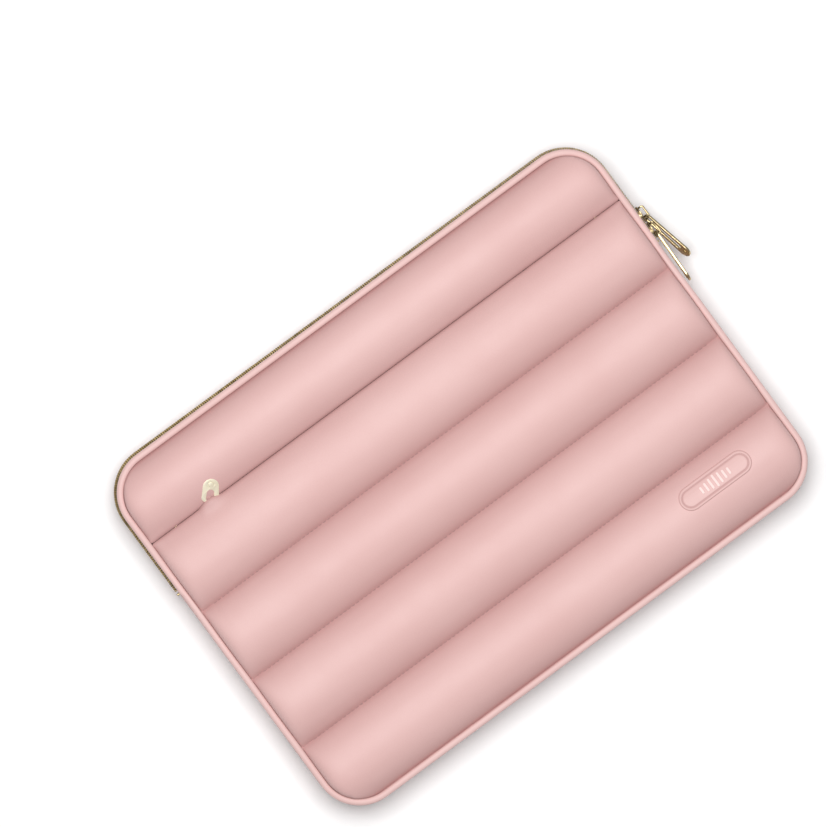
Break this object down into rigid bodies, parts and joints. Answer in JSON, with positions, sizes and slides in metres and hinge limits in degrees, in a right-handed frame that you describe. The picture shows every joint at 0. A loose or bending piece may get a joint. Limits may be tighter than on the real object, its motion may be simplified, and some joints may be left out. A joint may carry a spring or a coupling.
{
  "type": "laptop sleeve",
  "caption": "Quilted padded laptop sleeve with rounded corners, a zip round its mouth, a zipped front pocket and metal pulls.",
  "frame": {"origin": "middle of the flat strip that the back rests on", "axes": "+X to the right across the width, +Y towards the mouth, +Z out of the front face"},
  "size_m": [0.3563, 0.2456, 0.0392],
  "materials": {
    "leatherette": "smooth satin leatherette with a very fine grain",
    "edge_leatherette": "satin leatherette rolled over a soft core",
    "gusset": "satin leatherette strip",
    "patch": "embossed leatherette",
    "wadding": "matte polyester wadding",
    "foam": "matte closed-cell foam",
    "lining": "soft brushed lining cloth",
    "zip_tape": "fine woven zip tape",
    "zip_teeth": "polished gold-coloured teeth",
    "zip_metal": "polished pale gold plating",
    "pocket_metal": "satin pale gold plating"
  },
  "bodies": {
    "sleeve": {"back_skin": "leatherette", "back_wadding_1": "wadding", "back_wadding_2": "wadding", "back_wadding_3": "wadding", "back_wadding_4": "wadding", "back_wadding_5": "wadding", "back_foam": "foam", "back_lining": "lining", "piping_back": "edge_leatherette", "gusset_strip": "gusset", "gusset_lining": "lining", "piping_front_lower": "edge_leatherette", "zip_tape_back": "zip_tape", "zip_teeth_back": "zip_teeth", "zip_tape_front_sides": "zip_tape", "zip_teeth_front_sides": "zip_teeth", "zip_end_stops": "zip_metal", "front_skin_pocket": "leatherette", "front_wadding_2": "wadding", "front_wadding_3": "wadding", "front_wadding_4": "wadding", "front_wadding_5": "wadding", "front_foam_lower": "foam", "front_lining_lower": "lining", "pocket_lining": "lining", "pocket_zip_facing": "zip_tape", "name_patch": "patch", "patch_bars": "patch"},
    "mouth_flap": {"front_skin_top": "leatherette", "front_wadding_1": "wadding", "front_foam_top": "foam", "front_lining_top": "lining", "piping_front_top": "edge_leatherette", "zip_tape_front_top": "zip_tape", "zip_teeth_front_top": "zip_teeth", "pocket_zip_tapes": "zip_tape", "pocket_zip_coils": "zip_teeth", "pocket_zip_stops": "zip_metal"},
    "upper_slider": {"slider_upper": "zip_metal"},
    "upper_pull": {"pull_upper": "zip_metal", "pull_upper_rivet": "zip_metal"},
    "lower_slider": {"slider_lower": "zip_metal"},
    "lower_pull": {"pull_lower": "zip_metal", "pull_lower_rivet": "zip_metal"},
    "pocket_slider_body": {"pocket_slider": "pocket_metal"},
    "pocket_pull_body": {"pocket_pull": "pocket_metal", "pocket_pull_rivet": "pocket_metal"}
  },
  "joints": [
    {"name": "mouth_open", "type": "hinge", "parent": "sleeve", "child": "mouth_flap", "pos_m": [0, 0.0726, 0.032], "axis": [1, 0, 0], "range_deg": [0, 35]},
    {"name": "upper_slider_travel", "type": "slide", "parent": "sleeve", "child": "upper_slider", "axis": [0, 1, 0], "range_m": [0, 0.028]},
    {"name": "lower_slider_travel", "type": "slide", "parent": "sleeve", "child": "lower_slider", "axis": [0, 1, 0], "range_m": [0, 0.028]},
    {"name": "upper_pull_swing", "type": "hinge", "parent": "upper_slider", "child": "upper_pull", "pos_m": [0.175, 0.0586, 0.0191], "axis": [0, 0, 1], "range_deg": [0, 150]},
    {"name": "lower_pull_swing", "type": "hinge", "parent": "lower_slider", "child": "lower_pull", "pos_m": [0.1746, 0.0476, 0.0191], "axis": [0, 0, 1], "range_deg": [0, 150]},
    {"name": "pocket_slider_travel", "type": "slide", "parent": "mouth_flap", "child": "pocket_slider_body", "axis": [1, 0, 0], "range_m": [-0.018, 0.262]},
    {"name": "pocket_pull_lift", "type": "hinge", "parent": "pocket_slider_body", "child": "pocket_pull_body", "pos_m": [-0.1258, 0.0753, 0.033], "axis": [0.809, -0.537, -0.2391], "range_deg": [0, 90]}
  ],
  "couplings": [
    {"joint": "upper_slider_travel", "follows": "lower_slider_travel", "ratio": 1},
    {"joint": "upper_pull_swing", "follows": "lower_pull_swing", "ratio": 1}
  ]
}
